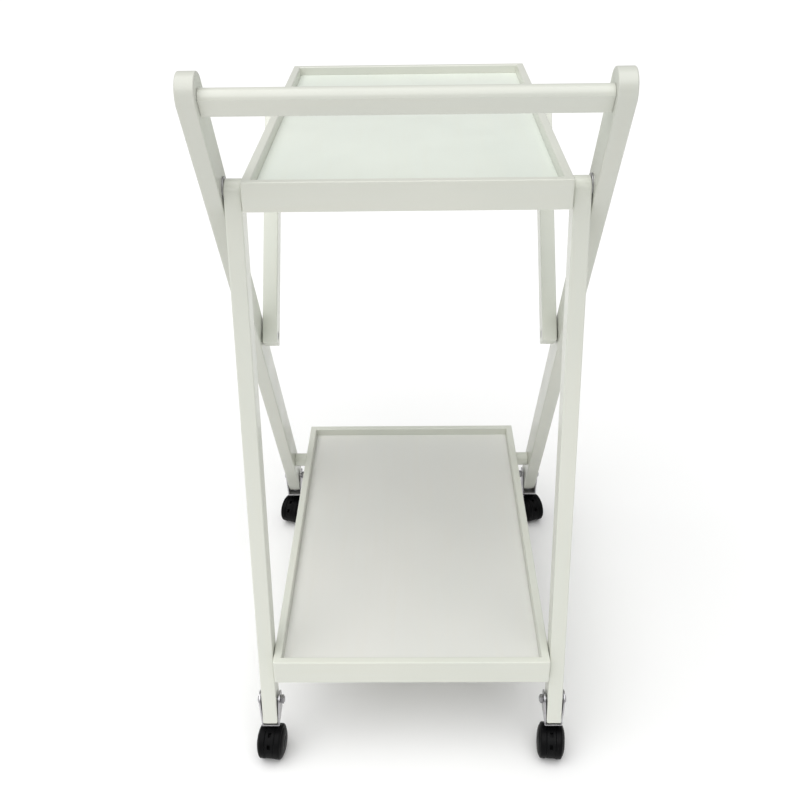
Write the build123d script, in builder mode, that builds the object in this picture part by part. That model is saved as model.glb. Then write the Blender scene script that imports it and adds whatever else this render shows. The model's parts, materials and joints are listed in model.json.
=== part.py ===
"""Folding two-tray rolling trolley for a hair salon.

White lacquered wooden frame: two long handle legs joined by a grip bar, two
short inner legs that hinge on them, two shallow moulded trays, two tray
struts and four swivelling twin-wheel casters in folded steel brackets.

Frame: millimetres, +Z up, +X to the right of a person standing at the handle,
+Y from the handle end towards the far end.  The origin is on the floor under
the centre of the trolley's box.
"""
from build123d import *
from math import sin, cos, tan, radians, atan2, degrees, hypot
import os

os.makedirs("parts", exist_ok=True)

# ---------------------------------------------------------------- dimensions
TRAY_W = 375.0            # outside width of both trays
TRAY_L = 590.0            # outside length of both trays
UPPER_H = 35.0            # height of the upper tray frame
LOWER_H = 37.0            # height of the lower tray frame
RIM_Z = 806.0             # rim of the upper tray above the floor
LOWER_RIM_Z = 179.0       # rim of the lower tray above the floor
LOWER_SHIFT = -119.5      # near face of the lower tray, from that of the upper one

RAIL_TOP = 11.0           # flat top of a tray rail
RAIL_FOOT = 12.0          # rail width where the moulded inner wall meets the panel
PANEL_DROP = 13.0         # rim to the panel's tongue
PANEL_T = 4.0             # tray floor panel
PANEL_IN = 4.0            # how far the panel sits in its groove
PANEL_LIFT = 0.35         # the tray floor stands this far above the panel's tongue

LEG_A_ANGLE = 30.3        # handle leg, from the vertical
LEG_A_W = 44.0            # handle leg, seen from the side
LEG_A_T = 20.6            # handle leg thickness
LEG_A_IN = 210.4          # inner face of a handle leg
LEG_A_TOP = 143.5         # main pivot to the centre of the rounded top
LEG_B_ANGLE = 10.66       # inner leg, from the vertical
LEG_B_W = 30.0
LEG_B_IN = 188.3
LEG_B_T = 20.4
LEG_END_Z = 68.5          # both legs are cut level here
EDGE_R = 1.8              # softened edges of the wood

STRUT_W = 30.0
STRUT_IN = 188.3
STRUT_T = 20.6
STRUT_FOOT = 12.0         # square end of the strut beyond its bolt

GRIP_S = 138.0            # grip bar centre up the handle leg from the main pivot
GRIP_N = 4.0              # and forward of the leg's centre line

WHEEL_R = 25.0
TRAIL = 14.0              # wheel axle behind the swivel stem
PLATE_Z = 61.5            # underside of a caster bracket
SHEET = 2.0               # bracket sheet thickness
BRACKET_BOLT_Z = 95.0
STEM_R = 4.0
AXLE_R = 3.0
RUN = 0.05                # running clearance on a radius

BOLT_R = 4.0

# ------------------------------------------------------- side-view positions
# (y, z) pairs.  u is measured from the near face of the upper tray.
PIVOT_U = 24.5            # main pivot
PIVOT_DROP = 14.5
T1_Z = RIM_Z - PIVOT_DROP
NEAR_REACH = 40.2         # stem of a near caster to its foremost point
near_u = PIVOT_U - (T1_Z - BRACKET_BOLT_Z) * tan(radians(LEG_B_ANGLE)) - NEAR_REACH
Y0 = -(near_u + TRAY_L) / 2          # near face of the upper tray
T1 = (Y0 + PIVOT_U, T1_Z)


def on_leg_a(z):
    """Centre line of the handle leg at height z."""
    return T1[0] + (T1_Z - z) * tan(radians(LEG_A_ANGLE))


def on_leg_b(z):
    """Centre line of the inner leg at height z."""
    return T1[0] - (T1_Z - z) * tan(radians(LEG_B_ANGLE))


def leg_a_point(up, forward):
    """A point `up` the handle leg from the main pivot and `forward` of its
    centre line, towards the person at the handle."""
    a = radians(LEG_A_ANGLE)
    return (T1[0] - up * sin(a) - forward * cos(a), T1[1] + up * cos(a) - forward * sin(a))


LOWER_Y0 = Y0 + LOWER_SHIFT
D_Z = LOWER_RIM_Z - LOWER_H + 12.0              # far pivot of the lower tray
D = (on_leg_a(D_Z), D_Z)
N_Z = LOWER_RIM_Z - LOWER_H + 13.0              # catch pin of the lower tray
N = (on_leg_b(N_Z), N_Z)
Q_Z = RIM_Z - 288.0                             # strut bolt on the handle leg
Q = (on_leg_a(Q_Z), Q_Z)
P = (Y0 + 392.0, RIM_Z - 18.0)                  # strut dowel on the upper tray
STRUT_A = atan2(P[1] - Q[1], P[0] - Q[0])       # strut direction, from +Y
STRUT_L = hypot(P[0] - Q[0], P[1] - Q[1])
FAR_STEM_Y = on_leg_a(BRACKET_BOLT_Z)
NEAR_STEM_Y = on_leg_b(BRACKET_BOLT_Z)
LEG_A_MID = LEG_A_IN + LEG_A_T / 2
LEG_B_MID = LEG_B_IN + LEG_B_T / 2

print("origin shift Y0 %.3f" % Y0)
for nm, pt in (("main pivot", T1), ("lower tray pivot", D), ("catch pin", N), ("strut bolt", Q), ("strut dowel", P)):
    print("%-18s y %.3f z %.3f" % (nm, pt[0], pt[1]))
print("strut angle %.3f length %.2f" % (degrees(STRUT_A), STRUT_L))
print("far stem y %.3f near stem y %.3f, leg centres x %.2f %.2f" % (FAR_STEM_Y, NEAR_STEM_Y, LEG_A_MID, LEG_B_MID))


def strut_point(along, up):
    """A point `along` the strut from its bolt, `up` towards its upper edge."""
    return (Q[0] + along * cos(STRUT_A) - up * sin(STRUT_A), Q[1] + along * sin(STRUT_A) + up * cos(STRUT_A))


# ------------------------------------------------------------- handle legs
half_a = LEG_A_W / 2
shift_a = half_a / cos(radians(LEG_A_ANGLE))
a_top = leg_a_point(LEG_A_TOP, 0)
a_outline = [
    leg_a_point(LEG_A_TOP, half_a),
    leg_a_point(LEG_A_TOP, -half_a),
    (on_leg_a(LEG_END_Z) + shift_a, LEG_END_Z),
    (on_leg_a(LEG_END_Z) - shift_a, LEG_END_Z),
]
grip_c = leg_a_point(GRIP_S, GRIP_N)

with BuildPart() as handle_leg_right:
    with BuildSketch(Plane.YZ.offset(LEG_A_IN)):
        with BuildLine():
            Polyline(*a_outline, close=True)
        make_face()
        with Locations(a_top):
            Circle(half_a)
    extrude(amount=LEG_A_T)
    rims = handle_leg_right.faces().filter_by(Axis.X)
    fillet(rims.edges(), radius=EDGE_R)
    with BuildSketch(Plane.YZ.offset(LEG_A_IN)):
        with Locations(T1, D, Q, (on_leg_a(BRACKET_BOLT_Z), BRACKET_BOLT_Z)):
            Circle(BOLT_R + RUN)
        with Locations(grip_c):
            Circle(2.55)
    extrude(amount=LEG_A_T, mode=Mode.SUBTRACT)
    with BuildSketch(Plane.YZ.offset(LEG_A_IN + LEG_A_T)):
        with Locations(grip_c):
            Circle(5.3)
    extrude(amount=-3.4, mode=Mode.SUBTRACT)
handle_leg_right.part.label = "handle_leg_right"
export_step(handle_leg_right.part, "parts/handle_leg_right.step")

with BuildPart() as handle_leg_left:
    add(handle_leg_right.part.mirror(Plane.YZ))
handle_leg_left.part.label = "handle_leg_left"
export_step(handle_leg_left.part, "parts/handle_leg_left.step")

# Grip bar: flat front, crisp front top edge, rounded over the top and back.
g = [leg_a_point(GRIP_S + up, GRIP_N + fwd) for up, fwd in
     ((-13.5, 9.5), (8.5, 9.5), (13.2, 1.5), (7.0, -9.5), (-10.5, -9.5), (-13.5, -6.5))]
with BuildPart() as handle_bar:
    with BuildSketch(Plane.YZ.offset(-(LEG_A_IN - 0.3))):
        with BuildLine():
            Line(g[0], g[1])
            ThreePointArc(g[1], g[2], g[3])
            Line(g[3], g[4])
            Line(g[4], g[5])
            Line(g[5], g[0])
        make_face()
    extrude(amount=2 * (LEG_A_IN - 0.3))
    with BuildSketch(Plane.YZ.offset(LEG_A_IN - 0.3)):
        with Locations(grip_c):
            Circle(2.55)
    extrude(amount=-30, mode=Mode.SUBTRACT)
    with BuildSketch(Plane.YZ.offset(-(LEG_A_IN - 0.3))):
        with Locations(grip_c):
            Circle(2.55)
    extrude(amount=30, mode=Mode.SUBTRACT)
handle_bar.part.label = "handle_bar"
export_step(handle_bar.part, "parts/handle_bar.step")

with BuildPart() as handle_screws:
    for side in (-1, 1):
        with BuildSketch(Plane.YZ.offset(side * (LEG_A_IN + LEG_A_T - 0.4))):
            with Locations(grip_c):
                Circle(5.1)
        extrude(amount=-side * 2.8)
        with BuildSketch(Plane.YZ.offset(side * (LEG_A_IN + LEG_A_T - 3.2))):
            with Locations(grip_c):
                Circle(2.5)
        extrude(amount=-side * 46)
handle_screws.part.label = "handle_screws"
export_step(handle_screws.part, "parts/handle_screws.step")

# -------------------------------------------------------------- inner legs
half_b = LEG_B_W / 2
shift_b = half_b / cos(radians(LEG_B_ANGLE))
nb = (cos(radians(LEG_B_ANGLE)) * half_b, -sin(radians(LEG_B_ANGLE)) * half_b)
LEG_B_TOP_Z = T1_Z - 4.0                # centre of the rounded top
top_b = (on_leg_b(LEG_B_TOP_Z), LEG_B_TOP_Z)
b_outline = [
    (top_b[0] - nb[0], top_b[1] - nb[1]),
    (top_b[0] + nb[0], top_b[1] + nb[1]),
    (on_leg_b(LEG_END_Z) + shift_b, LEG_END_Z),
    (on_leg_b(LEG_END_Z) - shift_b, LEG_END_Z),
]

with BuildPart() as inner_leg_right:
    with BuildSketch(Plane.YZ.offset(LEG_B_IN)):
        with BuildLine():
            Polyline(*b_outline, close=True)
        make_face()
        with Locations(top_b):
            Circle(half_b)
    extrude(amount=LEG_B_T)
    fillet(inner_leg_right.faces().filter_by(Axis.X).edges(), radius=EDGE_R)
    with BuildSketch(Plane.YZ.offset(LEG_B_IN)):
        with Locations(T1, N, (on_leg_b(BRACKET_BOLT_Z), BRACKET_BOLT_Z)):
            Circle(BOLT_R + RUN)
    extrude(amount=LEG_B_T, mode=Mode.SUBTRACT)
inner_leg_right.part.label = "inner_leg_right"
export_step(inner_leg_right.part, "parts/inner_leg_right.step")

with BuildPart() as inner_leg_left:
    add(inner_leg_right.part.mirror(Plane.YZ))
inner_leg_left.part.label = "inner_leg_left"
export_step(inner_leg_left.part, "parts/inner_leg_left.step")

# Steel pins in the inner legs that carry the near end of the lower tray.
with BuildPart() as catch_pins:
    for side in (-1, 1):
        with BuildSketch(Plane.YZ.offset(side * 180.5)):
            with Locations(N):
                Circle(BOLT_R)
        extrude(amount=side * (LEG_B_IN + LEG_B_T - 0.6 - 180.5))
catch_pins.part.label = "catch_pins"
export_step(catch_pins.part, "parts/catch_pins.step")

# ------------------------------------------------------------- tray struts
strut_outline = [strut_point(-STRUT_FOOT, STRUT_W / 2), strut_point(-STRUT_FOOT, -STRUT_W / 2),
                 strut_point(STRUT_L, -STRUT_W / 2), strut_point(STRUT_L, STRUT_W / 2)]
# The open hook at the top: the tray dowel leaves through the upper edge.
HOOK_W = 11.4
HOOK_A = radians(120.9)                 # hook direction, from the strut's direction
hook_dir = (cos(STRUT_A + HOOK_A), sin(STRUT_A + HOOK_A))
hook_nrm = (-hook_dir[1], hook_dir[0])
hook = []
for along, across in ((0, 1), (0, -1), (34, -1.25), (34, 1.25)):
    hook.append((P[0] + hook_dir[0] * along + hook_nrm[0] * across * HOOK_W / 2,
                 P[1] + hook_dir[1] * along + hook_nrm[1] * across * HOOK_W / 2))

with BuildPart() as strut_right:
    with BuildSketch(Plane.YZ.offset(STRUT_IN)):
        with BuildLine():
            Polyline(*strut_outline, close=True)
        make_face()
        with Locations(P):
            Circle(STRUT_W / 2)
    extrude(amount=STRUT_T)
    fillet(strut_right.faces().filter_by(Axis.X).edges(), radius=1.2)
    with BuildSketch(Plane.YZ.offset(STRUT_IN)):
        with BuildLine():
            Polyline(*hook, close=True)
        make_face()
        with Locations(P):
            Circle(HOOK_W / 2)
        with Locations(Q):
            Circle(BOLT_R + RUN)
    extrude(amount=STRUT_T, mode=Mode.SUBTRACT)
    with BuildSketch(Plane.YZ.offset(STRUT_IN)):
        with Locations(Q):
            Circle(6.6)
    extrude(amount=5.0, mode=Mode.SUBTRACT)
strut_right.part.label = "strut_right"
export_step(strut_right.part, "parts/strut_right.step")

with BuildPart() as strut_left:
    add(strut_right.part.mirror(Plane.YZ))
strut_left.part.label = "strut_left"
export_step(strut_left.part, "parts/strut_left.step")

# -------------------------------------------------------- pivots of the frame
# Low round-headed bolts through the handle legs.


def bolt_profile(x_head, x_end, head_r=8.0, head_t=4.0):
    """Half section (x, r) of a mushroom-headed bolt along +X."""
    return [(x_end, 0), (x_end, BOLT_R), (x_head, BOLT_R), (x_head, head_r), (x_head + head_t * 0.45, head_r),
            (x_head + head_t * 0.85, head_r * 0.72), (x_head + head_t, head_r * 0.35), (x_head + head_t, 0)]


A_OUT = LEG_A_IN + LEG_A_T
with BuildPart() as pivot_bolts:
    with BuildSketch(Plane(origin=(0, T1[0], T1[1]), x_dir=(1, 0, 0), z_dir=(0, -1, 0))):
        with BuildLine():
            Polyline(*bolt_profile(A_OUT + 0.1, 180.6), close=True)
        make_face()
    revolve(axis=Axis((0, T1[0], T1[1]), (1, 0, 0)))
    mirror(about=Plane.YZ)
pivot_bolts.part.label = "pivot_bolts"
export_step(pivot_bolts.part, "parts/pivot_bolts.step")

with BuildPart() as lower_pivot_bolts:
    with BuildSketch(Plane(origin=(0, D[0], D[1]), x_dir=(1, 0, 0), z_dir=(0, -1, 0))):
        with BuildLine():
            Polyline(*bolt_profile(A_OUT + 0.1, 180.6), close=True)
        make_face()
    revolve(axis=Axis((0, D[0], D[1]), (1, 0, 0)))
    mirror(about=Plane.YZ)
lower_pivot_bolts.part.label = "lower_pivot_bolts"
export_step(lower_pivot_bolts.part, "parts/lower_pivot_bolts.step")

with BuildPart() as strut_bolts:
    with BuildSketch(Plane(origin=(0, Q[0], Q[1]), x_dir=(1, 0, 0), z_dir=(0, -1, 0))):
        with BuildLine():
            Polyline(*bolt_profile(A_OUT + 0.1, 188.9), close=True)
        make_face()
    revolve(axis=Axis((0, Q[0], Q[1]), (1, 0, 0)))
    mirror(about=Plane.YZ)
strut_bolts.part.label = "strut_bolts"
export_step(strut_bolts.part, "parts/strut_bolts.step")

with BuildPart() as strut_nuts:
    for side in (-1, 1):
        with BuildSketch(Plane.YZ.offset(side * 188.8)):
            with Locations(Q):
                Circle(6.2)
                Circle(BOLT_R + RUN, mode=Mode.SUBTRACT)
        extrude(amount=side * 4.2)
strut_nuts.part.label = "strut_nuts"
export_step(strut_nuts.part, "parts/strut_nuts.step")

with BuildPart() as pivot_washers:
    for side in (-1, 1):
        with BuildSketch(Plane.YZ.offset(side * (LEG_A_IN - 1.65))):
            with Locations(T1):
                Circle(13.5)
                Circle(BOLT_R + RUN, mode=Mode.SUBTRACT)
        extrude(amount=side * 1.6)
pivot_washers.part.label = "pivot_washers"
export_step(pivot_washers.part, "parts/pivot_washers.step")

# Round wooden spacers that keep the lower tray clear of the handle legs.
with BuildPart() as tray_spacers:
    for side in (-1, 1):
        with BuildSketch(Plane.YZ.offset(side * 188.0)):
            with Locations(D):
                Circle(11.5)
        extrude(amount=side * (LEG_A_IN - 0.1 - 188.0))
    fillet(tray_spacers.faces().filter_by(Axis.X).edges(), radius=1.0)
    for side in (-1, 1):
        with BuildSketch(Plane.YZ.offset(side * 188.0)):
            with Locations(D):
                Circle(BOLT_R + RUN)
        extrude(amount=side * (LEG_A_IN - 0.1 - 188.0), mode=Mode.SUBTRACT)
tray_spacers.part.label = "tray_spacers"
export_step(tray_spacers.part, "parts/tray_spacers.step")

# -------------------------------------------------------------------- trays


def rail_section(height):
    """Rail section: u inwards from the outer face, v up from the rim."""
    return [(0, -height), (0, 0), (RAIL_TOP, 0), (RAIL_FOOT, -PANEL_DROP),
            (RAIL_FOOT - PANEL_IN, -PANEL_DROP), (RAIL_FOOT - PANEL_IN, -PANEL_DROP - PANEL_T),
            (RAIL_FOOT, -PANEL_DROP - PANEL_T), (RAIL_FOOT + 1.8, -height)]


HW = TRAY_W / 2
CORNER_R = 3.0
M = 40.0                                        # depth of the mitre cutting shapes

# Upper tray ---------------------------------------------------------------
uy0, uy1, uz = Y0, Y0 + TRAY_L, RIM_Z
sec = rail_section(UPPER_H)

with BuildPart() as upper_tray_right_rail:
    with BuildSketch(Plane.XZ.offset(-uy1)):
        with BuildLine():
            Polyline(*[(HW - u, uz + v) for u, v in sec], close=True)
        make_face()
        fillet(vertices().group_by(Axis.Y)[-1], radius=2.0)
    extrude(amount=TRAY_L)
    with BuildSketch(Plane.XY.offset(uz - UPPER_H)):
        with Locations((0, (uy0 + uy1) / 2)):
            RectangleRounded(TRAY_W, TRAY_L, CORNER_R)
        with BuildLine():
            Polyline((HW + 1, uy0 - 1), (HW + 1, uy1 + 1), (HW - M, uy1 - M), (HW - M, uy0 + M), close=True)
        make_face(mode=Mode.INTERSECT)
    extrude(amount=UPPER_H, mode=Mode.INTERSECT)
    with BuildSketch(Plane.YZ.offset(HW)):
        with Locations(T1):
            Circle(BOLT_R + RUN)
    extrude(amount=-7.2, mode=Mode.SUBTRACT)
    with BuildSketch(Plane.YZ.offset(HW)):
        with Locations(P):
            Circle(5.05)
    extrude(amount=-6.2, mode=Mode.SUBTRACT)
upper_tray_right_rail.part.label = "upper_tray_right_rail"
export_step(upper_tray_right_rail.part, "parts/upper_tray_right_rail.step")

with BuildPart() as upper_tray_left_rail:
    add(upper_tray_right_rail.part.mirror(Plane.YZ))
upper_tray_left_rail.part.label = "upper_tray_left_rail"
export_step(upper_tray_left_rail.part, "parts/upper_tray_left_rail.step")

with BuildPart() as upper_tray_near_rail:
    with BuildSketch(Plane.YZ.offset(-HW)):
        with BuildLine():
            Polyline(*[(uy0 + u, uz + v) for u, v in sec], close=True)
        make_face()
        fillet(vertices().group_by(Axis.Y)[-1], radius=2.0)
    extrude(amount=TRAY_W)
    with BuildSketch(Plane.XY.offset(uz - UPPER_H)):
        with Locations((0, (uy0 + uy1) / 2)):
            RectangleRounded(TRAY_W, TRAY_L, CORNER_R)
        with BuildLine():
            Polyline((-HW - 1, uy0 - 1), (HW + 1, uy0 - 1), (HW - M, uy0 + M), (-HW + M, uy0 + M), close=True)
        make_face(mode=Mode.INTERSECT)
    extrude(amount=UPPER_H, mode=Mode.INTERSECT)
upper_tray_near_rail.part.label = "upper_tray_near_rail"
export_step(upper_tray_near_rail.part, "parts/upper_tray_near_rail.step")

with BuildPart() as upper_tray_far_rail:
    add(upper_tray_near_rail.part.mirror(Plane.XZ.offset(-(uy0 + uy1) / 2)))
upper_tray_far_rail.part.label = "upper_tray_far_rail"
export_step(upper_tray_far_rail.part, "parts/upper_tray_far_rail.step")

IN = 2 * (RAIL_FOOT - PANEL_IN + 0.15)
FIELD = 2 * (RAIL_FOOT + 0.2)
with BuildPart() as upper_tray_panel:
    with BuildSketch(Plane.XY.offset(uz - PANEL_DROP - PANEL_T + 0.05)):
        with Locations((0, (uy0 + uy1) / 2)):
            Rectangle(TRAY_W - IN, TRAY_L - IN)
    extrude(amount=PANEL_T - 0.1)
    with BuildSketch(Plane.XY.offset(uz - PANEL_DROP - 0.5)):
        with Locations((0, (uy0 + uy1) / 2)):
            Rectangle(TRAY_W - FIELD, TRAY_L - FIELD)
    extrude(amount=0.45 + PANEL_LIFT)
upper_tray_panel.part.label = "upper_tray_panel"
export_step(upper_tray_panel.part, "parts/upper_tray_panel.step")

# Dowels on the sides of the upper tray, which rest in the strut hooks.
with BuildPart() as strut_dowels:
    for side in (-1, 1):
        with BuildSketch(Plane.YZ.offset(side * (HW - 6.0))):
            with Locations(P):
                Circle(5.0)
        extrude(amount=side * (STRUT_IN + STRUT_T - 1.4 - HW + 6.0))
strut_dowels.part.label = "strut_dowels"
export_step(strut_dowels.part, "parts/strut_dowels.step")

# Lower tray ---------------------------------------------------------------
ly0, ly1, lz = LOWER_Y0, LOWER_Y0 + TRAY_L, LOWER_RIM_Z
lsec = rail_section(LOWER_H)
CATCH_W = 9.6
CATCH_A = radians(-56.8)                # the way the catch pin leaves the tray
cdir = (cos(CATCH_A), sin(CATCH_A))
cnrm = (-cdir[1], cdir[0])
catch = []
for along, across in ((0, 1), (0, -1), (30, -1.3), (30, 1.3)):
    catch.append((N[0] + cdir[0] * along + cnrm[0] * across * CATCH_W / 2,
                  N[1] + cdir[1] * along + cnrm[1] * across * CATCH_W / 2))

with BuildPart() as lower_tray_right_rail:
    with BuildSketch(Plane.XZ.offset(-ly1)):
        with BuildLine():
            Polyline(*[(HW - u, lz + v) for u, v in lsec], close=True)
        make_face()
        fillet(vertices().group_by(Axis.Y)[-1], radius=2.0)
    extrude(amount=TRAY_L)
    with BuildSketch(Plane.XY.offset(lz - LOWER_H)):
        with Locations((0, (ly0 + ly1) / 2)):
            RectangleRounded(TRAY_W, TRAY_L, CORNER_R)
        with BuildLine():
            Polyline((HW + 1, ly0 - 1), (HW + 1, ly1 + 1), (HW - M, ly1 - M), (HW - M, ly0 + M), close=True)
        make_face(mode=Mode.INTERSECT)
    extrude(amount=LOWER_H, mode=Mode.INTERSECT)
    with BuildSketch(Plane.YZ.offset(HW)):
        with Locations(D):
            Circle(BOLT_R + RUN)
        with BuildLine():
            Polyline(*catch, close=True)
        make_face()
        with Locations(N):
            Circle(CATCH_W / 2)
    extrude(amount=-7.4, mode=Mode.SUBTRACT)
lower_tray_right_rail.part.label = "lower_tray_right_rail"
export_step(lower_tray_right_rail.part, "parts/lower_tray_right_rail.step")

with BuildPart() as lower_tray_left_rail:
    add(lower_tray_right_rail.part.mirror(Plane.YZ))
lower_tray_left_rail.part.label = "lower_tray_left_rail"
export_step(lower_tray_left_rail.part, "parts/lower_tray_left_rail.step")

with BuildPart() as lower_tray_near_rail:
    with BuildSketch(Plane.YZ.offset(-HW)):
        with BuildLine():
            Polyline(*[(ly0 + u, lz + v) for u, v in lsec], close=True)
        make_face()
        fillet(vertices().group_by(Axis.Y)[-1], radius=2.0)
    extrude(amount=TRAY_W)
    with BuildSketch(Plane.XY.offset(lz - LOWER_H)):
        with Locations((0, (ly0 + ly1) / 2)):
            RectangleRounded(TRAY_W, TRAY_L, CORNER_R)
        with BuildLine():
            Polyline((-HW - 1, ly0 - 1), (HW + 1, ly0 - 1), (HW - M, ly0 + M), (-HW + M, ly0 + M), close=True)
        make_face(mode=Mode.INTERSECT)
    extrude(amount=LOWER_H, mode=Mode.INTERSECT)
lower_tray_near_rail.part.label = "lower_tray_near_rail"
export_step(lower_tray_near_rail.part, "parts/lower_tray_near_rail.step")

with BuildPart() as lower_tray_far_rail:
    add(lower_tray_near_rail.part.mirror(Plane.XZ.offset(-(ly0 + ly1) / 2)))
lower_tray_far_rail.part.label = "lower_tray_far_rail"
export_step(lower_tray_far_rail.part, "parts/lower_tray_far_rail.step")

with BuildPart() as lower_tray_panel:
    with BuildSketch(Plane.XY.offset(lz - PANEL_DROP - PANEL_T + 0.05)):
        with Locations((0, (ly0 + ly1) / 2)):
            Rectangle(TRAY_W - IN, TRAY_L - IN)
    extrude(amount=PANEL_T - 0.1)
    with BuildSketch(Plane.XY.offset(lz - PANEL_DROP - 0.5)):
        with Locations((0, (ly0 + ly1) / 2)):
            Rectangle(TRAY_W - FIELD, TRAY_L - FIELD)
    extrude(amount=0.45 + PANEL_LIFT)
lower_tray_panel.part.label = "lower_tray_panel"
export_step(lower_tray_panel.part, "parts/lower_tray_panel.step")

# ----------------------------------------------------------- caster brackets
# Folded steel: a level plate under the leg end and an ear on each side of it.
PLATE_HALF = 19.0
EAR_TOP_R = 12.5
EAR_TOP = BRACKET_BOLT_Z + EAR_TOP_R
LEAN = 2.4                              # how far the ears spread at the top
BOLT_LEAN = LEAN * (BRACKET_BOLT_Z - PLATE_Z) / (EAR_TOP - PLATE_Z)


def ear_outline(y):
    """Tangent-sided ear: base on the plate, round top about the bolt."""
    return [(y - PLATE_HALF + 2, PLATE_Z), (y + PLATE_HALF - 2, PLATE_Z),
            (y + EAR_TOP_R * 0.98, BRACKET_BOLT_Z + 2.0), (y - EAR_TOP_R * 0.98, BRACKET_BOLT_Z + 2.0)]


far_half = LEG_A_T / 2 + 0.15           # inside half width of the far bracket
near_half = LEG_B_T / 2 + 0.15
with BuildPart(mode=Mode.PRIVATE) as far_ears:
    with BuildSketch(Plane.XZ.offset(-FAR_STEM_Y - PLATE_HALF)):
        for side in (-1, 1):
            with BuildLine():
                Polyline(*[(LEG_A_MID + side * x, z) for x, z in (
                    (far_half, PLATE_Z), (far_half + SHEET, PLATE_Z),
                    (far_half + SHEET + LEAN, EAR_TOP), (far_half + LEAN, EAR_TOP))], close=True)
            make_face()
    extrude(amount=2 * PLATE_HALF)
    with BuildSketch(Plane.YZ.offset(LEG_A_MID - 30)):
        with BuildLine():
            Polyline(*ear_outline(FAR_STEM_Y), close=True)
        make_face()
        with Locations((FAR_STEM_Y, BRACKET_BOLT_Z)):
            Circle(EAR_TOP_R)
    extrude(amount=60, mode=Mode.INTERSECT)

with BuildPart() as far_bracket_right:
    with BuildSketch(Plane.XY.offset(PLATE_Z)):
        with Locations((LEG_A_MID, FAR_STEM_Y)):
            RectangleRounded(2 * (far_half + SHEET), 2 * PLATE_HALF, 1.6)
    extrude(amount=SHEET)
    add(far_ears.part)
    with BuildSketch(Plane.YZ.offset(LEG_A_MID - 30)):
        with Locations((FAR_STEM_Y, BRACKET_BOLT_Z)):
            Circle(BOLT_R + RUN)
    extrude(amount=60, mode=Mode.SUBTRACT)
    with BuildSketch(Plane.XY.offset(PLATE_Z)):
        with Locations((LEG_A_MID, FAR_STEM_Y)):
            Circle(STEM_R + RUN)
    extrude(amount=SHEET, mode=Mode.SUBTRACT)
far_bracket_right.part.label = "far_bracket_right"
export_step(far_bracket_right.part, "parts/far_bracket_right.step")

with BuildPart() as far_bracket_left:
    add(far_bracket_right.part.mirror(Plane.YZ))
far_bracket_left.part.label = "far_bracket_left"
export_step(far_bracket_left.part, "parts/far_bracket_left.step")

with BuildPart(mode=Mode.PRIVATE) as near_ears:
    with BuildSketch(Plane.XZ.offset(-NEAR_STEM_Y - PLATE_HALF)):
        for side in (-1, 1):
            with BuildLine():
                Polyline(*[(LEG_B_MID + side * x, z) for x, z in (
                    (near_half, PLATE_Z), (near_half + SHEET, PLATE_Z),
                    (near_half + SHEET + LEAN, EAR_TOP), (near_half + LEAN, EAR_TOP))], close=True)
            make_face()
    extrude(amount=2 * PLATE_HALF)
    with BuildSketch(Plane.YZ.offset(LEG_B_MID - 30)):
        with BuildLine():
            Polyline(*ear_outline(NEAR_STEM_Y), close=True)
        make_face()
        with Locations((NEAR_STEM_Y, BRACKET_BOLT_Z)):
            Circle(EAR_TOP_R)
    extrude(amount=60, mode=Mode.INTERSECT)

with BuildPart() as near_bracket_right:
    with BuildSketch(Plane.XY.offset(PLATE_Z)):
        with Locations((LEG_B_MID, NEAR_STEM_Y)):
            RectangleRounded(2 * (near_half + SHEET), 2 * PLATE_HALF, 1.6)
    extrude(amount=SHEET)
    add(near_ears.part)
    with BuildSketch(Plane.YZ.offset(LEG_B_MID - 30)):
        with Locations((NEAR_STEM_Y, BRACKET_BOLT_Z)):
            Circle(BOLT_R + RUN)
    extrude(amount=60, mode=Mode.SUBTRACT)
    with BuildSketch(Plane.XY.offset(PLATE_Z)):
        with Locations((LEG_B_MID, NEAR_STEM_Y)):
            Circle(STEM_R + RUN)
    extrude(amount=SHEET, mode=Mode.SUBTRACT)
near_bracket_right.part.label = "near_bracket_right"
export_step(near_bracket_right.part, "parts/near_bracket_right.step")

with BuildPart() as near_bracket_left:
    add(near_bracket_right.part.mirror(Plane.YZ))
near_bracket_left.part.label = "near_bracket_left"
export_step(near_bracket_left.part, "parts/near_bracket_left.step")

# Cross bolts: round head outside, hexagon nut on the inside.
far_out = LEG_A_MID + far_half + SHEET + BOLT_LEAN + 0.45
far_in = LEG_A_MID - far_half - SHEET - BOLT_LEAN - 0.45
with BuildPart() as far_bracket_bolts:
    with BuildSketch(Plane(origin=(0, FAR_STEM_Y, BRACKET_BOLT_Z), x_dir=(1, 0, 0), z_dir=(0, -1, 0))):
        with BuildLine():
            Polyline(*bolt_profile(far_out + 0.05, far_in - 5.8, 5.9, 2.9), close=True)
        make_face()
    revolve(axis=Axis((0, FAR_STEM_Y, BRACKET_BOLT_Z), (1, 0, 0)))
    mirror(about=Plane.YZ)
far_bracket_bolts.part.label = "far_bracket_bolts"
export_step(far_bracket_bolts.part, "parts/far_bracket_bolts.step")

with BuildPart() as far_bracket_nuts:
    for side in (-1, 1):
        with BuildSketch(Plane.YZ.offset(side * (far_in - 0.05))):
            with Locations((FAR_STEM_Y, BRACKET_BOLT_Z)):
                RegularPolygon(radius=5.6, side_count=6, major_radius=False)
                Circle(BOLT_R + RUN, mode=Mode.SUBTRACT)
        extrude(amount=-side * 4.6)
far_bracket_nuts.part.label = "far_bracket_nuts"
export_step(far_bracket_nuts.part, "parts/far_bracket_nuts.step")

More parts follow.
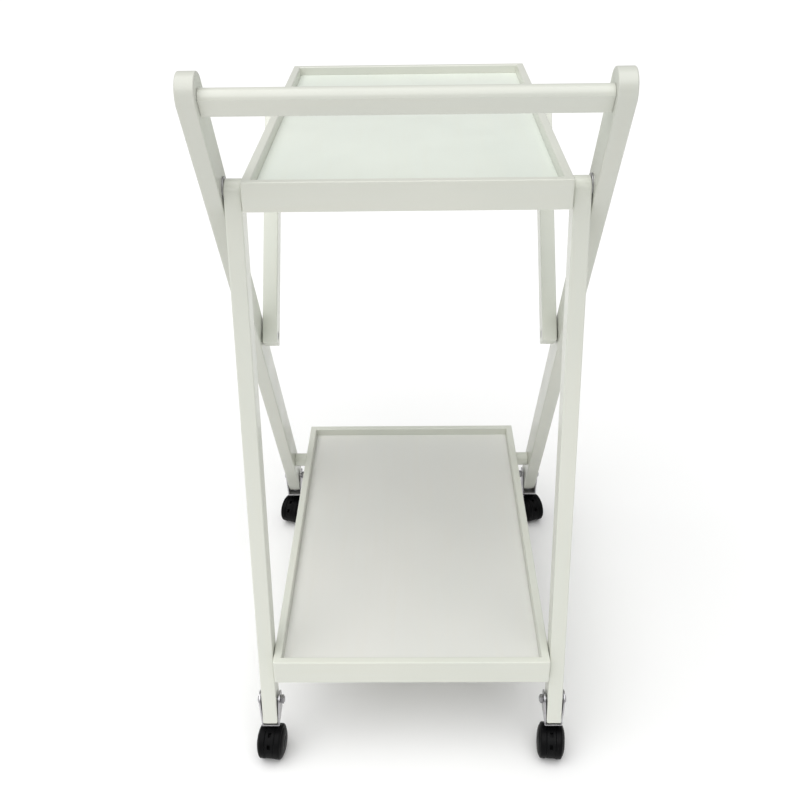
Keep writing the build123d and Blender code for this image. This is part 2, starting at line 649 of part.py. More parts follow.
near_out = LEG_B_MID + near_half + SHEET + BOLT_LEAN + 0.45
near_in = LEG_B_MID - near_half - SHEET - BOLT_LEAN - 0.45
with BuildPart() as near_bracket_bolts:
    with BuildSketch(Plane(origin=(0, NEAR_STEM_Y, BRACKET_BOLT_Z), x_dir=(1, 0, 0), z_dir=(0, -1, 0))):
        with BuildLine():
            Polyline(*bolt_profile(near_out + 0.05, near_in - 5.8, 5.9, 2.9), close=True)
        make_face()
    revolve(axis=Axis((0, NEAR_STEM_Y, BRACKET_BOLT_Z), (1, 0, 0)))
    mirror(about=Plane.YZ)
near_bracket_bolts.part.label = "near_bracket_bolts"
export_step(near_bracket_bolts.part, "parts/near_bracket_bolts.step")

with BuildPart() as near_bracket_nuts:
    for side in (-1, 1):
        with BuildSketch(Plane.YZ.offset(side * (near_in - 0.05))):
            with Locations((NEAR_STEM_Y, BRACKET_BOLT_Z)):
                RegularPolygon(radius=5.6, side_count=6, major_radius=False)
                Circle(BOLT_R + RUN, mode=Mode.SUBTRACT)
        extrude(amount=-side * 4.6)
near_bracket_nuts.part.label = "near_bracket_nuts"
export_step(near_bracket_nuts.part, "parts/near_bracket_nuts.step")

# Swivel stems, riveted into the plates.
STEM_END_Z = 36.0


def stem_profile(x):
    return [(x, STEM_END_Z), (x + STEM_R, STEM_END_Z), (x + STEM_R, PLATE_Z + SHEET + 0.05),
            (x + 6.4, PLATE_Z + SHEET + 0.05), (x + 6.4, PLATE_Z + SHEET + 1.2),
            (x + 3.6, PLATE_Z + SHEET + 3.0), (x, PLATE_Z + SHEET + 3.2)]


with BuildPart() as far_stems:
    with BuildSketch(Plane(origin=(0, FAR_STEM_Y, 0), x_dir=(1, 0, 0), z_dir=(0, -1, 0))):
        with BuildLine():
            Polyline(*stem_profile(LEG_A_MID), close=True)
        make_face()
    revolve(axis=Axis((LEG_A_MID, FAR_STEM_Y, 0), (0, 0, 1)))
    mirror(about=Plane.YZ)
far_stems.part.label = "far_stems"
export_step(far_stems.part, "parts/far_stems.step")

with BuildPart() as near_stems:
    with BuildSketch(Plane(origin=(0, NEAR_STEM_Y, 0), x_dir=(1, 0, 0), z_dir=(0, -1, 0))):
        with BuildLine():
            Polyline(*stem_profile(LEG_B_MID), close=True)
        make_face()
    revolve(axis=Axis((LEG_B_MID, NEAR_STEM_Y, 0), (0, 0, 1)))
    mirror(about=Plane.YZ)
near_stems.part.label = "near_stems"
export_step(near_stems.part, "parts/near_stems.step")

# ------------------------------------------------------------------ casters
# Twin-wheel caster: two wheels either side of a disc-shaped housing that
# carries the stem and the axle.
WEB_HALF = 6.2
WEB_R = 24.4
WHEEL_IN = 6.6
WHEEL_OUT = 20.0
wc = (-TRAIL, WHEEL_R)                  # wheel centre in the caster's side view


def arc_pt(r, deg):
    return (wc[0] + r * cos(radians(deg)), wc[1] + r * sin(radians(deg)))


with BuildPart(mode=Mode.PRIVATE) as caster_housing:
    # disc between the wheels, cut level underneath
    with BuildSketch(Plane.YZ.offset(-WEB_HALF)):
        with BuildLine():
            ThreePointArc(arc_pt(WEB_R, -52), arc_pt(WEB_R, 90), arc_pt(WEB_R, 232))
            Line(arc_pt(WEB_R, 232), arc_pt(WEB_R, -52))
        make_face()
    extrude(amount=2 * WEB_HALF)
    # swivel boss
    with BuildSketch(Plane.XY.offset(34.0)):
        Circle(WEB_HALF)
    extrude(amount=18.0)
    with BuildSketch(Plane.XY.offset(46.0)):
        Circle(9.6)
    extrude(amount=PLATE_Z - 0.5 - 46.0, taper=2.0)
    with BuildSketch(Plane.YZ.offset(-30)):
        with Locations(wc):
            Circle(WHEEL_R + 0.8)
    extrude(amount=30 - WEB_HALF, mode=Mode.SUBTRACT)
    with BuildSketch(Plane.YZ.offset(WEB_HALF)):
        with Locations(wc):
            Circle(WHEEL_R + 0.8)
    extrude(amount=30 - WEB_HALF, mode=Mode.SUBTRACT)
    # two moulded pockets in the face of the disc
    for deg in (113.0, 153.0):
        with BuildSketch(Plane.YZ.offset(-2.3)):
            with BuildLine():
                Polyline(arc_pt(19.5, deg - 8), arc_pt(19.5, deg + 8), arc_pt(26, deg + 8), arc_pt(26, deg - 8), close=True)
            make_face()
        extrude(amount=4.6, mode=Mode.SUBTRACT)
    with BuildSketch(Plane.XY.offset(STEM_END_Z - 0.6)):
        Circle(STEM_R + RUN)
    extrude(amount=40, mode=Mode.SUBTRACT)
    with BuildSketch(Plane.YZ.offset(-WEB_HALF)):
        with Locations(wc):
            Circle(AXLE_R + RUN)
    extrude(amount=2 * WEB_HALF, mode=Mode.SUBTRACT)

with BuildPart(mode=Mode.PRIVATE) as caster_axle:
    with BuildSketch(Plane.YZ.offset(-17.2)):
        with Locations(wc):
            Circle(AXLE_R)
    extrude(amount=34.4)
    chamfer(caster_axle.faces().filter_by(Axis.X).edges(), length=0.4)

# Wheel half section: x outwards along the axle, r from the axle.
wheel_sec = [(WHEEL_IN, AXLE_R + RUN), (WHEEL_IN, 24.2), (WHEEL_IN + 0.8, 25.0), (13.4, 25.0), (14.5, 24.5),
             (16.0, 22.6), (17.4, 19.4), (18.5, 15.6), (19.3, 11.4), (19.8, 6.4), (WHEEL_OUT, 0),
             (17.6, 0), (17.6, AXLE_R + RUN)]
with BuildPart(mode=Mode.PRIVATE) as caster_wheel:
    with BuildSketch(Plane(origin=(0, wc[0], wc[1]), x_dir=(1, 0, 0), z_dir=(0, -1, 0))):
        with BuildLine():
            Polyline(*wheel_sec, close=True)
        make_face()
    revolve(axis=Axis((0, wc[0], wc[1]), (1, 0, 0)))

# Each caster stands turned a little about its stem, as casters do at rest.
FAR_R = Pos(LEG_A_MID, FAR_STEM_Y, 0) * Rot(0, 0, 20)
FAR_L = Pos(-LEG_A_MID, FAR_STEM_Y, 0) * Rot(0, 0, -20)
NEAR_R = Pos(LEG_B_MID, NEAR_STEM_Y, 0) * Rot(0, 0, -5)
NEAR_L = Pos(-LEG_B_MID, NEAR_STEM_Y, 0) * Rot(0, 0, -6)
wheel_right = caster_wheel.part
wheel_left = caster_wheel.part.mirror(Plane.YZ)

with BuildPart() as far_right_caster_housing:
    add(FAR_R * caster_housing.part)
far_right_caster_housing.part.label = "far_right_caster_housing"
export_step(far_right_caster_housing.part, "parts/far_right_caster_housing.step")

with BuildPart() as far_right_caster_axle:
    add(FAR_R * caster_axle.part)
far_right_caster_axle.part.label = "far_right_caster_axle"
export_step(far_right_caster_axle.part, "parts/far_right_caster_axle.step")

with BuildPart() as far_right_wheel_outer:
    add(FAR_R * wheel_right)
far_right_wheel_outer.part.label = "far_right_wheel_outer"
export_step(far_right_wheel_outer.part, "parts/far_right_wheel_outer.step")

with BuildPart() as far_right_wheel_inner:
    add(FAR_R * wheel_left)
far_right_wheel_inner.part.label = "far_right_wheel_inner"
export_step(far_right_wheel_inner.part, "parts/far_right_wheel_inner.step")

with BuildPart() as far_left_caster_housing:
    add(FAR_L * caster_housing.part)
far_left_caster_housing.part.label = "far_left_caster_housing"
export_step(far_left_caster_housing.part, "parts/far_left_caster_housing.step")

with BuildPart() as far_left_caster_axle:
    add(FAR_L * caster_axle.part)
far_left_caster_axle.part.label = "far_left_caster_axle"
export_step(far_left_caster_axle.part, "parts/far_left_caster_axle.step")

with BuildPart() as far_left_wheel_outer:
    add(FAR_L * wheel_left)
far_left_wheel_outer.part.label = "far_left_wheel_outer"
export_step(far_left_wheel_outer.part, "parts/far_left_wheel_outer.step")

with BuildPart() as far_left_wheel_inner:
    add(FAR_L * wheel_right)
far_left_wheel_inner.part.label = "far_left_wheel_inner"
export_step(far_left_wheel_inner.part, "parts/far_left_wheel_inner.step")

with BuildPart() as near_right_caster_housing:
    add(NEAR_R * caster_housing.part)
near_right_caster_housing.part.label = "near_right_caster_housing"
export_step(near_right_caster_housing.part, "parts/near_right_caster_housing.step")

with BuildPart() as near_right_caster_axle:
    add(NEAR_R * caster_axle.part)
near_right_caster_axle.part.label = "near_right_caster_axle"
export_step(near_right_caster_axle.part, "parts/near_right_caster_axle.step")

with BuildPart() as near_right_wheel_outer:
    add(NEAR_R * wheel_right)
near_right_wheel_outer.part.label = "near_right_wheel_outer"
export_step(near_right_wheel_outer.part, "parts/near_right_wheel_outer.step")

with BuildPart() as near_right_wheel_inner:
    add(NEAR_R * wheel_left)
near_right_wheel_inner.part.label = "near_right_wheel_inner"
export_step(near_right_wheel_inner.part, "parts/near_right_wheel_inner.step")

with BuildPart() as near_left_caster_housing:
    add(NEAR_L * caster_housing.part)
near_left_caster_housing.part.label = "near_left_caster_housing"
export_step(near_left_caster_housing.part, "parts/near_left_caster_housing.step")

with BuildPart() as near_left_caster_axle:
    add(NEAR_L * caster_axle.part)
near_left_caster_axle.part.label = "near_left_caster_axle"
export_step(near_left_caster_axle.part, "parts/near_left_caster_axle.step")

with BuildPart() as near_left_wheel_outer:
    add(NEAR_L * wheel_left)
near_left_wheel_outer.part.label = "near_left_wheel_outer"
export_step(near_left_wheel_outer.part, "parts/near_left_wheel_outer.step")

with BuildPart() as near_left_wheel_inner:
    add(NEAR_L * wheel_right)
near_left_wheel_inner.part.label = "near_left_wheel_inner"
export_step(near_left_wheel_inner.part, "parts/near_left_wheel_inner.step")
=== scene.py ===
import bpy, bmesh, json
from math import sin, cos, tan, radians, degrees, pi, sqrt, atan2, hypot
from mathutils import Vector, Matrix


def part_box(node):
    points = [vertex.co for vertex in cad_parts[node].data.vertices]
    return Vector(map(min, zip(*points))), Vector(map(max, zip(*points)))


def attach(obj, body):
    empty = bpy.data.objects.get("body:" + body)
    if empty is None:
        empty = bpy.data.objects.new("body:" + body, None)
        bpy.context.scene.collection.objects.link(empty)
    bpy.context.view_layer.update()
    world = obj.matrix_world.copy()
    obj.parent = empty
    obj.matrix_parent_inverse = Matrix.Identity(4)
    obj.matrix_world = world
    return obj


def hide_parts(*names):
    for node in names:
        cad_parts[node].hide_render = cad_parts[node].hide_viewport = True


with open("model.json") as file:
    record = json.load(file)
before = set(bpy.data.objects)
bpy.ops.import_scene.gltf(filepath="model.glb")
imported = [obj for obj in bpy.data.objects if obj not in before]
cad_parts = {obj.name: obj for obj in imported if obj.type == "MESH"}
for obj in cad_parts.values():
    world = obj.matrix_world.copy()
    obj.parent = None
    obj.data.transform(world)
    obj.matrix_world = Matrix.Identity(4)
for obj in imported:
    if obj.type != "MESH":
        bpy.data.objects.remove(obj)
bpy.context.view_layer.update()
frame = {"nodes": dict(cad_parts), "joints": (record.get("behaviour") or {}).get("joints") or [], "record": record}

nodes = frame["nodes"]
record = frame["record"]
scene = bpy.context.scene
scene.view_settings.view_transform = "Standard"
MM = 0.001
body_of_node = {n: b for b, ns in record["behaviour"]["bodies"].items() for n in ns}
slot_of = {s["node"]: s["material_slot"] for s in record["subparts"]}


# ------------------------------------------------------------------ materials
class Mat:
    """Small helper round one node material."""

    def __init__(self, name):
        self.m = bpy.data.materials.new(name)
        self.m.use_nodes = True
        self.t = self.m.node_tree
        self.b = self.t.nodes["Principled BSDF"]
        self.c = self.node("ShaderNodeTexCoord").outputs["Object"]

    def node(self, kind, **props):
        n = self.t.nodes.new(kind)
        for k, v in props.items():
            setattr(n, k, v)
        return n

    def link(self, a, b):
        self.t.links.new(a, b)

    def noise(self, scale, detail=3.0, rough=0.5, vector=None, distortion=0.0):
        n = self.node("ShaderNodeTexNoise")
        n.inputs["Scale"].default_value = scale
        n.inputs["Detail"].default_value = detail
        n.inputs["Roughness"].default_value = rough
        n.inputs["Distortion"].default_value = distortion
        self.link(vector or self.c, n.inputs["Vector"])
        return n.outputs["Fac"]

    def ramp(self, fac, lo, hi, a, b):
        n = self.node("ShaderNodeMapRange")
        n.inputs["From Min"].default_value = lo
        n.inputs["From Max"].default_value = hi
        n.inputs["To Min"].default_value = a
        n.inputs["To Max"].default_value = b
        self.link(fac, n.inputs["Value"])
        return n.outputs["Result"]

    def math(self, op, a, b):
        n = self.node("ShaderNodeMath", operation=op)
        for i, v in enumerate((a, b)):
            if isinstance(v, (int, float)):
                n.inputs[i].default_value = v
            else:
                self.link(v, n.inputs[i])
        return n.outputs[0]

    def mix(self, fac, a, b):
        n = self.node("ShaderNodeMix", data_type="RGBA")
        if isinstance(fac, (int, float)):
            n.inputs[0].default_value = fac
        else:
            self.link(fac, n.inputs[0])
        for sock, v in ((6, a), (7, b)):
            if isinstance(v, tuple):
                n.inputs[sock].default_value = (*v, 1.0)
            else:
                self.link(v, n.inputs[sock])
        return n.outputs[2]

    def scaled(self, x, y, z, rot=(0, 0, 0)):
        n = self.node("ShaderNodeMapping")
        n.vector_type = "TEXTURE"
        n.inputs["Rotation"].default_value = rot
        n.inputs["Scale"].default_value = (1 / x, 1 / y, 1 / z)
        self.link(self.c, n.inputs["Vector"])
        return n.outputs["Vector"]

    def bump(self, height, strength, distance):
        n = self.node("ShaderNodeBump")
        n.inputs["Strength"].default_value = strength
        n.inputs["Distance"].default_value = distance
        self.link(height, n.inputs["Height"])
        prev = self.b.inputs["Normal"]
        if prev.is_linked:
            self.link(prev.links[0].from_socket, n.inputs["Normal"])
        self.link(n.outputs["Normal"], prev)


def lacquer(name, tint, along=(1, 0.06, 1), rot=(0, 0, 0), rough=0.35, coat=0.3):
    """White sprayed lacquer over fine-grained wood: faint grain that telegraphs
    through the film and a slight orange peel."""
    m = Mat(name)
    v = m.scaled(*along, rot=rot)
    grain = m.noise(90.0, 5.0, 0.62, v, 0.5)
    pores = m.noise(520.0, 2.0, 0.5, v)
    broad = m.noise(3.5, 2.0, 0.5)
    peel = m.noise(260.0, 2.0, 0.45)
    cool = tuple(c * k for c, k in zip(tint, (0.955, 0.965, 0.965)))
    warm = tuple(c * k for c, k in zip(tint, (0.975, 0.955, 0.915)))
    col = m.mix(m.ramp(broad, 0.36, 0.64, 0.0, 1.0), tint, cool)
    col = m.mix(m.ramp(grain, 0.45, 0.78, 0.0, 0.30), col, warm)
    m.link(col, m.b.inputs["Base Color"])
    m.link(m.ramp(m.noise(22.0, 3.0), 0.3, 0.7, rough - 0.05, rough + 0.08), m.b.inputs["Roughness"])
    m.b.inputs["Coat Weight"].default_value = coat
    m.b.inputs["Coat Roughness"].default_value = 0.2
    m.bump(m.math("ADD", m.math("MULTIPLY", grain, 0.75), m.math("MULTIPLY", pores, 0.25)), 0.16, 0.0005)
    m.bump(peel, 0.05, 0.0003)
    return m.m


def steel_mat(name):
    m = Mat(name)
    v = m.scaled(1, 1, 0.12)
    col = m.mix(m.ramp(m.noise(70.0, 4.0, 0.6), 0.35, 0.68, 0.0, 1.0), (0.52, 0.515, 0.525), (0.38, 0.375, 0.39))
    col = m.mix(m.ramp(m.noise(14.0, 4.0, 0.7), 0.60, 0.74, 0.0, 0.5), col, (0.30, 0.30, 0.32))
    m.link(col, m.b.inputs["Base Color"])
    m.b.inputs["Metallic"].default_value = 1.0
    m.link(m.ramp(m.noise(160.0, 4.0, 0.6, v), 0.3, 0.7, 0.24, 0.44), m.b.inputs["Roughness"])
    m.bump(m.noise(700.0, 2.0, 0.5, v), 0.12, 0.0002)
    return m.m


def plastic_mat(name, col, rough, grain=1400.0):
    m = Mat(name)
    c2 = tuple(c * 1.7 + 0.002 for c in col)
    c3 = (0.014, 0.0135, 0.0125)
    k = m.mix(m.ramp(m.noise(30.0, 3.0), 0.40, 0.75, 0.0, 1.0), col, c2)
    k = m.mix(m.ramp(m.noise(120.0, 5.0, 0.7), 0.60, 0.78, 0.0, 0.35), k, c3)
    m.link(k, m.b.inputs["Base Color"])
    m.link(m.ramp(m.noise(80.0, 4.0, 0.6), 0.3, 0.7, rough - 0.06, rough + 0.12), m.b.inputs["Roughness"])
    m.bump(m.noise(grain, 2.0), 0.14, 0.00015)
    m.b.inputs["Specular IOR Level"].default_value = 0.06
    return m.m


WHITE = (0.725, 0.736, 0.664)
LEG_A_ANGLE, LEG_B_ANGLE = radians(30.3), radians(10.66)
lac_x = lacquer("lacquer_cross", WHITE, (0.06, 1, 1))
# The grip bar's lacquer is WHITE darkened to 0.96. This is painted shade: the bar is the same white paint as the
# rest.
lac_bar_painted_shade = lacquer("lacquer_grip_painted_shade", tuple(c * 0.96 for c in WHITE), (0.06, 1, 1), rough=0.34)
lac_y = lacquer("lacquer_side", WHITE, (1, 0.06, 1))
# The handle legs' lacquer is WHITE darkened to 0.91. This is painted shade for their down-facing faces: they are
# the same white paint as the other legs.
lac_handle_leg_painted_shade = lacquer("lacquer_handle_leg_painted_shade", tuple(c * 0.91 for c in WHITE), (1, 1, 0.06), rot=(LEG_A_ANGLE, 0, 0))
lac_b = lacquer("lacquer_inner_leg", WHITE, (1, 1, 0.06), rot=(-LEG_B_ANGLE, 0, 0))
lac_s = lacquer("lacquer_strut", WHITE, (1, 1, 0.06), rot=(radians(-38), 0, 0))
# The two tray floors are one paint. The upper floor's colour is lighter as painted light, and the lower floor's is
# darker as painted shade under the upper tray.
lac_panel = lacquer("lacquer_upper_floor_painted_light", (0.79, 0.835, 0.76), (1, 0.05, 1), rough=0.36)
lac_panel_low_painted_shade = lacquer("lacquer_lower_floor_painted_shade", (0.745, 0.74, 0.705), (1, 0.05, 1), rough=0.36)
steel = steel_mat("zinc_steel")
black = plastic_mat("black_plastic", (0.004, 0.004, 0.0043), 0.42)
tyre = plastic_mat("black_tyre", (0.0035, 0.0035, 0.0038), 0.36, 900.0)

wood_of = {}
for n, s in slot_of.items():
    if s == "white_lacquer":
        wood_of[n] = (lac_handle_leg_painted_shade if n.startswith("handle_leg") else lac_b if n.startswith("inner_leg") else
                      lac_s if n.startswith("strut_l") or n.startswith("strut_r") else
                      lac_bar_painted_shade if n == "handle_bar" else
                      lac_x if ("near_rail" in n or "far_rail" in n or n in ("tray_spacers", "strut_dowels")) else lac_y)
    elif s == "white_panel":
        wood_of[n] = lac_panel if n.startswith("upper") else lac_panel_low_painted_shade
    elif s == "zinc_steel":
        wood_of[n] = steel
    elif s == "black_plastic":
        wood_of[n] = black
    else:
        wood_of[n] = tyre


# --------------------------------------------------------------- piece makers
def finish_piece(name, me, mat, body, slot_name, *replaced):
    me.materials.clear()
    me.materials.append(mat)
    o = bpy.data.objects.new(name, me)
    scene.collection.objects.link(o)
    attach(o, body)
    if replaced:
        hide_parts(*replaced)
    return o


def sharp_by_angle(bm, angle):
    for f in bm.faces:
        f.smooth = True
    for e in bm.edges:
        if len(e.link_faces) == 2:
            e.smooth = e.calc_face_angle(0.0) < angle


def soften(node, width=0.0, segments=3, sharp=radians(35)):
    """The CAD node's own shape, cleaned up and shaded smoothly across its
    rounded edges, with its remaining hard edges rounded where width is given."""
    bm = bmesh.new()
    bm.from_mesh(nodes[node].data)
    bmesh.ops.remove_doubles(bm, verts=bm.verts, dist=2e-6)
    bmesh.ops.dissolve_limit(bm, angle_limit=radians(0.3), use_dissolve_boundaries=False, verts=bm.verts, edges=bm.edges)
    bmesh.ops.recalc_face_normals(bm, faces=bm.faces)
    layer = bm.edges.layers.float.new("bevel_weight_edge")
    for e in bm.edges:
        hard = len(e.link_faces) != 2 or e.calc_face_angle(0.0) >= sharp
        e[layer] = 1.0 if hard and width else 0.0
        e.smooth = bool(width) or not hard
    for f in bm.faces:
        f.smooth = True
    me = bpy.data.meshes.new(node + "_finished")
    bm.to_mesh(me)
    bm.free()
    o = bpy.data.objects.new("tmp_" + node, me)
    scene.collection.objects.link(o)
    if width:
        b = o.modifiers.new("bevel", "BEVEL")
        b.limit_method = "WEIGHT"
        b.width = width
        b.segments = segments
        b.profile = 0.5
        b.use_clamp_overlap = True
    wn = o.modifiers.new("wn", "WEIGHTED_NORMAL")
    wn.keep_sharp = True
    wn.weight = 50
    dg = bpy.context.evaluated_depsgraph_get()
    out = bpy.data.meshes.new_from_object(o.evaluated_get(dg), preserve_all_data_layers=True, depsgraph=dg)
    bpy.data.objects.remove(o)
    bpy.data.meshes.remove(me)
    out.name = node + "_finished"
    return finish_piece("v_" + node, out, wood_of[node], body_of_node[node], slot_of[node], node)


def turned(name, section, origin, axis, seg=72, shape=None, angle=radians(35)):
    """Solid of revolution. section is a list of (x along axis, r) in metres from
    the axis end to the axis end, and shape(k, phi) scales ring k at angle phi."""
    axis = Vector(axis).normalized()
    side = axis.orthogonal().normalized() if abs(axis.z) > 0.9 else Vector((0, 0, 1))
    side = (side - axis * side.dot(axis)).normalized()
    third = axis.cross(side)
    bm = bmesh.new()
    rings = []
    for k, (x, r) in enumerate(section):
        c = Vector(origin) + axis * x
        if r < 1e-7:
            rings.append([bm.verts.new(c)])
            continue
        ring = []
        for j in range(seg):
            ph = 2 * pi * j / seg
            rr = r * (shape(k, ph) if shape else 1.0)
            ring.append(bm.verts.new(c + (side * cos(ph) + third * sin(ph)) * rr))
        rings.append(ring)
    for a, b in zip(rings, rings[1:]):
        if len(a) == 1 and len(b) == 1:
            continue
        for j in range(seg):
            j2 = (j + 1) % seg
            if len(a) == 1:
                bm.faces.new((a[0], b[j2], b[j]))
            elif len(b) == 1:
                bm.faces.new((a[j], a[j2], b[0]))
            else:
                bm.faces.new((a[j], a[j2], b[j2], b[j]))
    bmesh.ops.recalc_face_normals(bm, faces=bm.faces)
    sharp_by_angle(bm, angle)
    me = bpy.data.meshes.new(name)
    bm.to_mesh(me)
    bm.free()
    return me


def merge(name, meshes):
    bm = bmesh.new()
    for m in meshes:
        bm.from_mesh(m)
    me = bpy.data.meshes.new(name)
    bm.to_mesh(me)
    bm.free()
    for m in meshes:
        bpy.data.meshes.remove(m)
    return me


def hexed(flats_r):
    """Ratio that turns a circle into the hexagon round it. flats_r is not used: the ratio is the same at any
    radius.
    """
    def f(ph):
        k = (ph + pi / 6) % (pi / 3) - pi / 6
        return 1.0 / cos(k)
    return f


# ------------------------------------------------------- key places, from CAD
def mid(node):
    lo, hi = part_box(node)
    return (lo + hi) / 2


joint = {j["name"]: j for j in frame["joints"]}
T1 = Vector(joint["main_fold"]["pos_m"])
D = Vector(joint["lower_tray_fold"]["pos_m"])
Q = Vector(joint["strut_fold"]["pos_m"])

# ------------------------------------------------------------- wooden pieces
for n in ("handle_leg_left", "handle_leg_right", "inner_leg_left", "inner_leg_right", "handle_bar", "strut_left", "strut_right"):
    soften(n)
for t in ("upper", "lower"):
    for part in ("left_rail", "right_rail", "near_rail", "far_rail", "panel"):
        soften(f"{t}_tray_{part}")
soften("tray_spacers", 0.4 * MM, 2)
soften("strut_dowels", 0.8 * MM, 3)
for n in ("pivot_washers", "strut_nuts", "catch_pins", "far_stems", "near_stems"):
    soften(n, 0.3 * MM, 2)
for n in ("far_bracket_left", "far_bracket_right", "near_bracket_left", "near_bracket_right"):
    soften(n)


# ----------------------------------------------------------- bolts and nuts
def socket_bolt(x_under, x_end, head_r, head_h, shank_r, sock=2.5):
    """Half section of a button-head bolt and the ring that becomes hexagonal.
    x runs from the shank's end to the head, along the bolt."""
    sec = [(x_end, 0.0), (x_end, shank_r - 0.5), (x_end + 0.5, shank_r), (x_under, shank_r), (x_under, head_r - 0.25), (x_under + 0.25, head_r)]
    for k in range(1, 8):
        a = k / 8 * pi / 2
        sec.append((x_under + 0.5 + (head_h - 0.5) * sin(a), head_r * (0.42 + 0.58 * cos(a) ** 0.9)))
    top = x_under + head_h
    first_hex = len(sec) + 1
    sec += [(top, sock * 1.45), (top, sock + 0.25), (top - 0.3, sock), (top - 2.2, sock), (top - 2.6, 0.0)]
    return sec, first_hex


def bolts(node, y, z, x_under, x_end, head_r, head_h, shank_r, sock=2.5):
    meshes = []
    for side in (-1, 1):
        sec, fh = socket_bolt(x_under, x_end, head_r, head_h, shank_r, sock)
        hx = hexed(sock)
        meshes.append(turned("b", [(x * MM, r * MM) for x, r in sec], (0, y, z), (side, 0, 0), 60,
                             shape=lambda k, ph: hx(ph) if k >= fh else 1.0))
    me = merge(node + "_turned", meshes)
    finish_piece("v_" + node, me, steel, body_of_node[node], slot_of[node], node)


def reach(node):
    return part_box(node)[1].x * 1000


for node, at, x_end in (("pivot_bolts", T1, 180.6), ("lower_pivot_bolts", D, 180.6), ("strut_bolts", Q, 188.9)):
    bolts(node, at.y, at.z, reach(node) - 4.0, x_end, 8.0, 4.0, 4.0)
for w in ("far", "near"):
    node = w + "_bracket_bolts"
    c = mid(node)
    lo_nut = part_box(w + "_bracket_nuts")
    x_out_nut = reach(w + "_bracket_nuts")
    bolts(node, c.y, c.z, reach(node) - 2.9, x_out_nut - 4.6 - 1.1, 5.9, 2.9, 3.95, 1.9)
    # hexagon nuts with chamfered corners, and the bolt's end standing out of them
    meshes = []
    hx = hexed(5.6)
    for side in (-1, 1):
        x1, x0 = x_out_nut, x_out_nut - 4.6
        sec = [(x0, 4.1), (x0, 5.25), (x0 + 0.4, 5.6), (x1 - 0.4, 5.6), (x1, 5.25), (x1, 4.1), (x0, 4.1)]
        meshes.append(turned("n", [(x * MM, r * MM) for x, r in sec], (0, c.y, c.z), (side, 0, 0), 60,
                             shape=lambda k, ph: hx(ph) if k in (2, 3) else 1.0))
    me = merge(w + "_nuts_turned", meshes)
    bm = bmesh.new(); bm.from_mesh(me)
    bmesh.ops.remove_doubles(bm, verts=bm.verts, dist=1e-6)
    bmesh.ops.recalc_face_normals(bm, faces=bm.faces)
    sharp_by_angle(bm, radians(30)); bm.to_mesh(me); bm.free()
    finish_piece("v_" + w + "_bracket_nuts", me, steel, body_of_node[w + "_bracket_nuts"], "zinc_steel", w + "_bracket_nuts")
soften("handle_screws", 0.4 * MM, 2)

# -------------------------------------------------------------------- casters
for c in ("far_right", "far_left", "near_right", "near_left"):
    soften(f"{c}_caster_housing")
    soften(f"{c}_caster_axle", 0.2 * MM, 2)
    for w in ("outer", "inner"):
        node = f"{c}_wheel_{w}"
        j = joint[f"{c}_{w}_roll"]
        ax = Vector(j["axis"])
        s = 1.0 if c.endswith("right") == (w == "outer") else -1.0
        ctr = Vector(j["pos_m"])                      # 13.3 mm along the axle from the caster's middle
        origin = ctr - ax * s * 13.3 * MM
        sec = [(6.6, 3.06), (6.6, 20.6), (7.1, 21.0), (7.1, 22.6), (6.6, 23.0), (6.6, 24.1), (6.75, 24.55), (7.1, 24.85), (7.6, 25.0),
               (12.6, 25.0), (13.5, 24.93), (14.3, 24.55), (15.05, 23.85), (15.75, 22.85), (15.95, 22.3), (15.8, 21.75), (15.98, 21.3), (16.5, 20.9),
               (17.2, 19.75), (17.95, 17.9), (18.6, 15.6), (19.05, 13.2), (19.3, 11.0), (19.3, 10.1), (18.85, 9.6), (18.9, 9.0),
               (19.45, 8.5), (19.7, 6.6), (19.88, 4.0), (19.97, 1.8), (19.97, 0.0)]
        inner = [(17.6, 0.0), (17.6, 3.06)]
        sec = [(x * MM, r * MM) for x, r in (inner + sec)]
        me = turned(node + "_turned", sec, origin, ax * s, 96, angle=radians(50))
        finish_piece("v_" + node, me, tyre, body_of_node[node], slot_of[node], node)

for n, o in nodes.items():
    if not o.hide_render:
        o.data.materials.clear()
        o.data.materials.append(wood_of[n])
        for p in o.data.polygons:
            p.material_index = 0

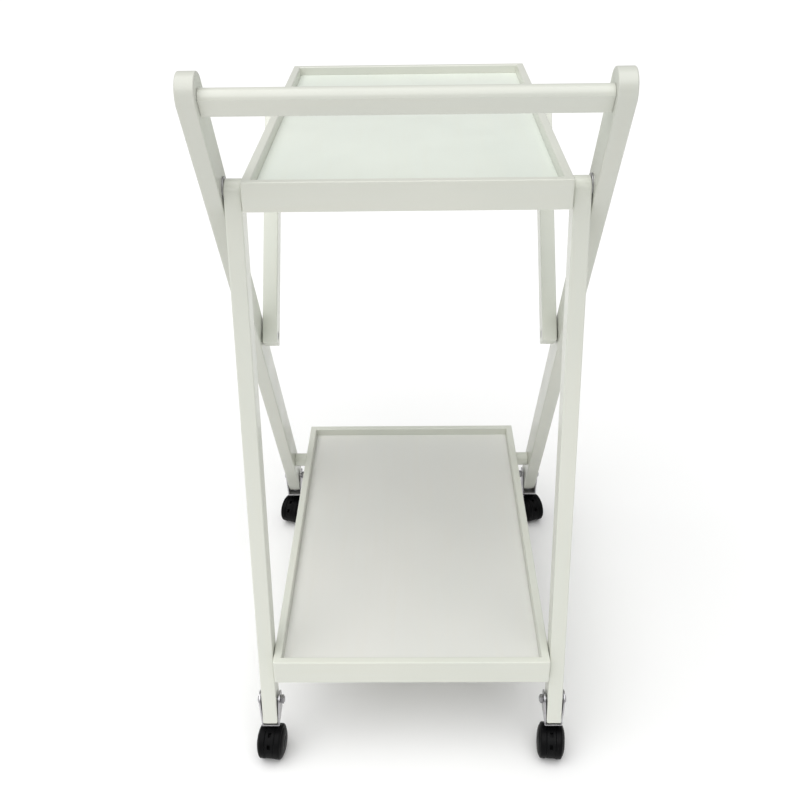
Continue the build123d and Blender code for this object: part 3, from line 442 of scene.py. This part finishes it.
# ---------------------------------------------------------------------- stage
fm = Mat("studio_floor")
fm.link(fm.mix(fm.ramp(fm.noise(1.5, 2.0), 0.3, 0.7, 0.0, 1.0), (0.962, 0.962, 0.960), (0.955, 0.955, 0.953)), fm.b.inputs["Base Color"])
fm.b.inputs["Roughness"].default_value = 0.8
fm.b.inputs["Specular IOR Level"].default_value = 0.2
bm = bmesh.new()
bm.faces.new([bm.verts.new(v) for v in ((-9.0, -6.0, 0.0), (9.0, -6.0, 0.0), (9.0, 12.0, 0.0), (-9.0, 12.0, 0.0))])
me = bpy.data.meshes.new("studio_floor")
bm.to_mesh(me)
bm.free()
me.materials.append(fm.m)
floor = bpy.data.objects.new("studio_floor", me)
scene.collection.objects.link(floor)

world = bpy.data.worlds.new("studio")
world.use_nodes = True
world.node_tree.nodes["Background"].inputs["Color"].default_value = (1.0, 1.0, 1.0, 1.0)
world.node_tree.nodes["Background"].inputs["Strength"].default_value = 0.35
scene.world = world


def soft_sun(name, towards, strength, angle):
    """Very wide soft light that falls evenly on the object and the floor."""
    l = bpy.data.lights.new(name, "SUN")
    l.energy = strength
    l.angle = radians(angle)
    o = bpy.data.objects.new(name, l)
    o.rotation_euler = Vector(towards).to_track_quat("Z", "Y").to_euler()
    o.location = Vector(towards) * 3.0
    scene.collection.objects.link(o)


soft_sun("studio_light", (-0.19, -0.28, 0.94), 2.66, 80)

# --------------------------------------------------------------------- camera
PITCH, YAW, ROLL = radians(31.25), radians(-1.05), radians(0.92)
C = Vector((0.00743, -1.26163, 1.15193))
FOCAL = 959.5
f = Vector((sin(YAW) * cos(PITCH), cos(YAW) * cos(PITCH), -sin(PITCH)))
r0 = Vector((cos(YAW), -sin(YAW), 0.0))
d0 = f.cross(r0)
r = cos(ROLL) * r0 + sin(ROLL) * d0
d = -sin(ROLL) * r0 + cos(ROLL) * d0
cam_data = bpy.data.cameras.new("camera")
cam_data.sensor_width = 36.0
cam_data.lens = FOCAL / 800.0 * 36.0
cam_data.clip_start, cam_data.clip_end = 0.05, 50.0
cam = bpy.data.objects.new("camera", cam_data)
scene.collection.objects.link(cam)
cam.matrix_world = Matrix(((r.x, -d.x, -f.x, C.x), (r.y, -d.y, -f.y, C.y), (r.z, -d.z, -f.z, C.z), (0, 0, 0, 1)))
scene.camera = cam
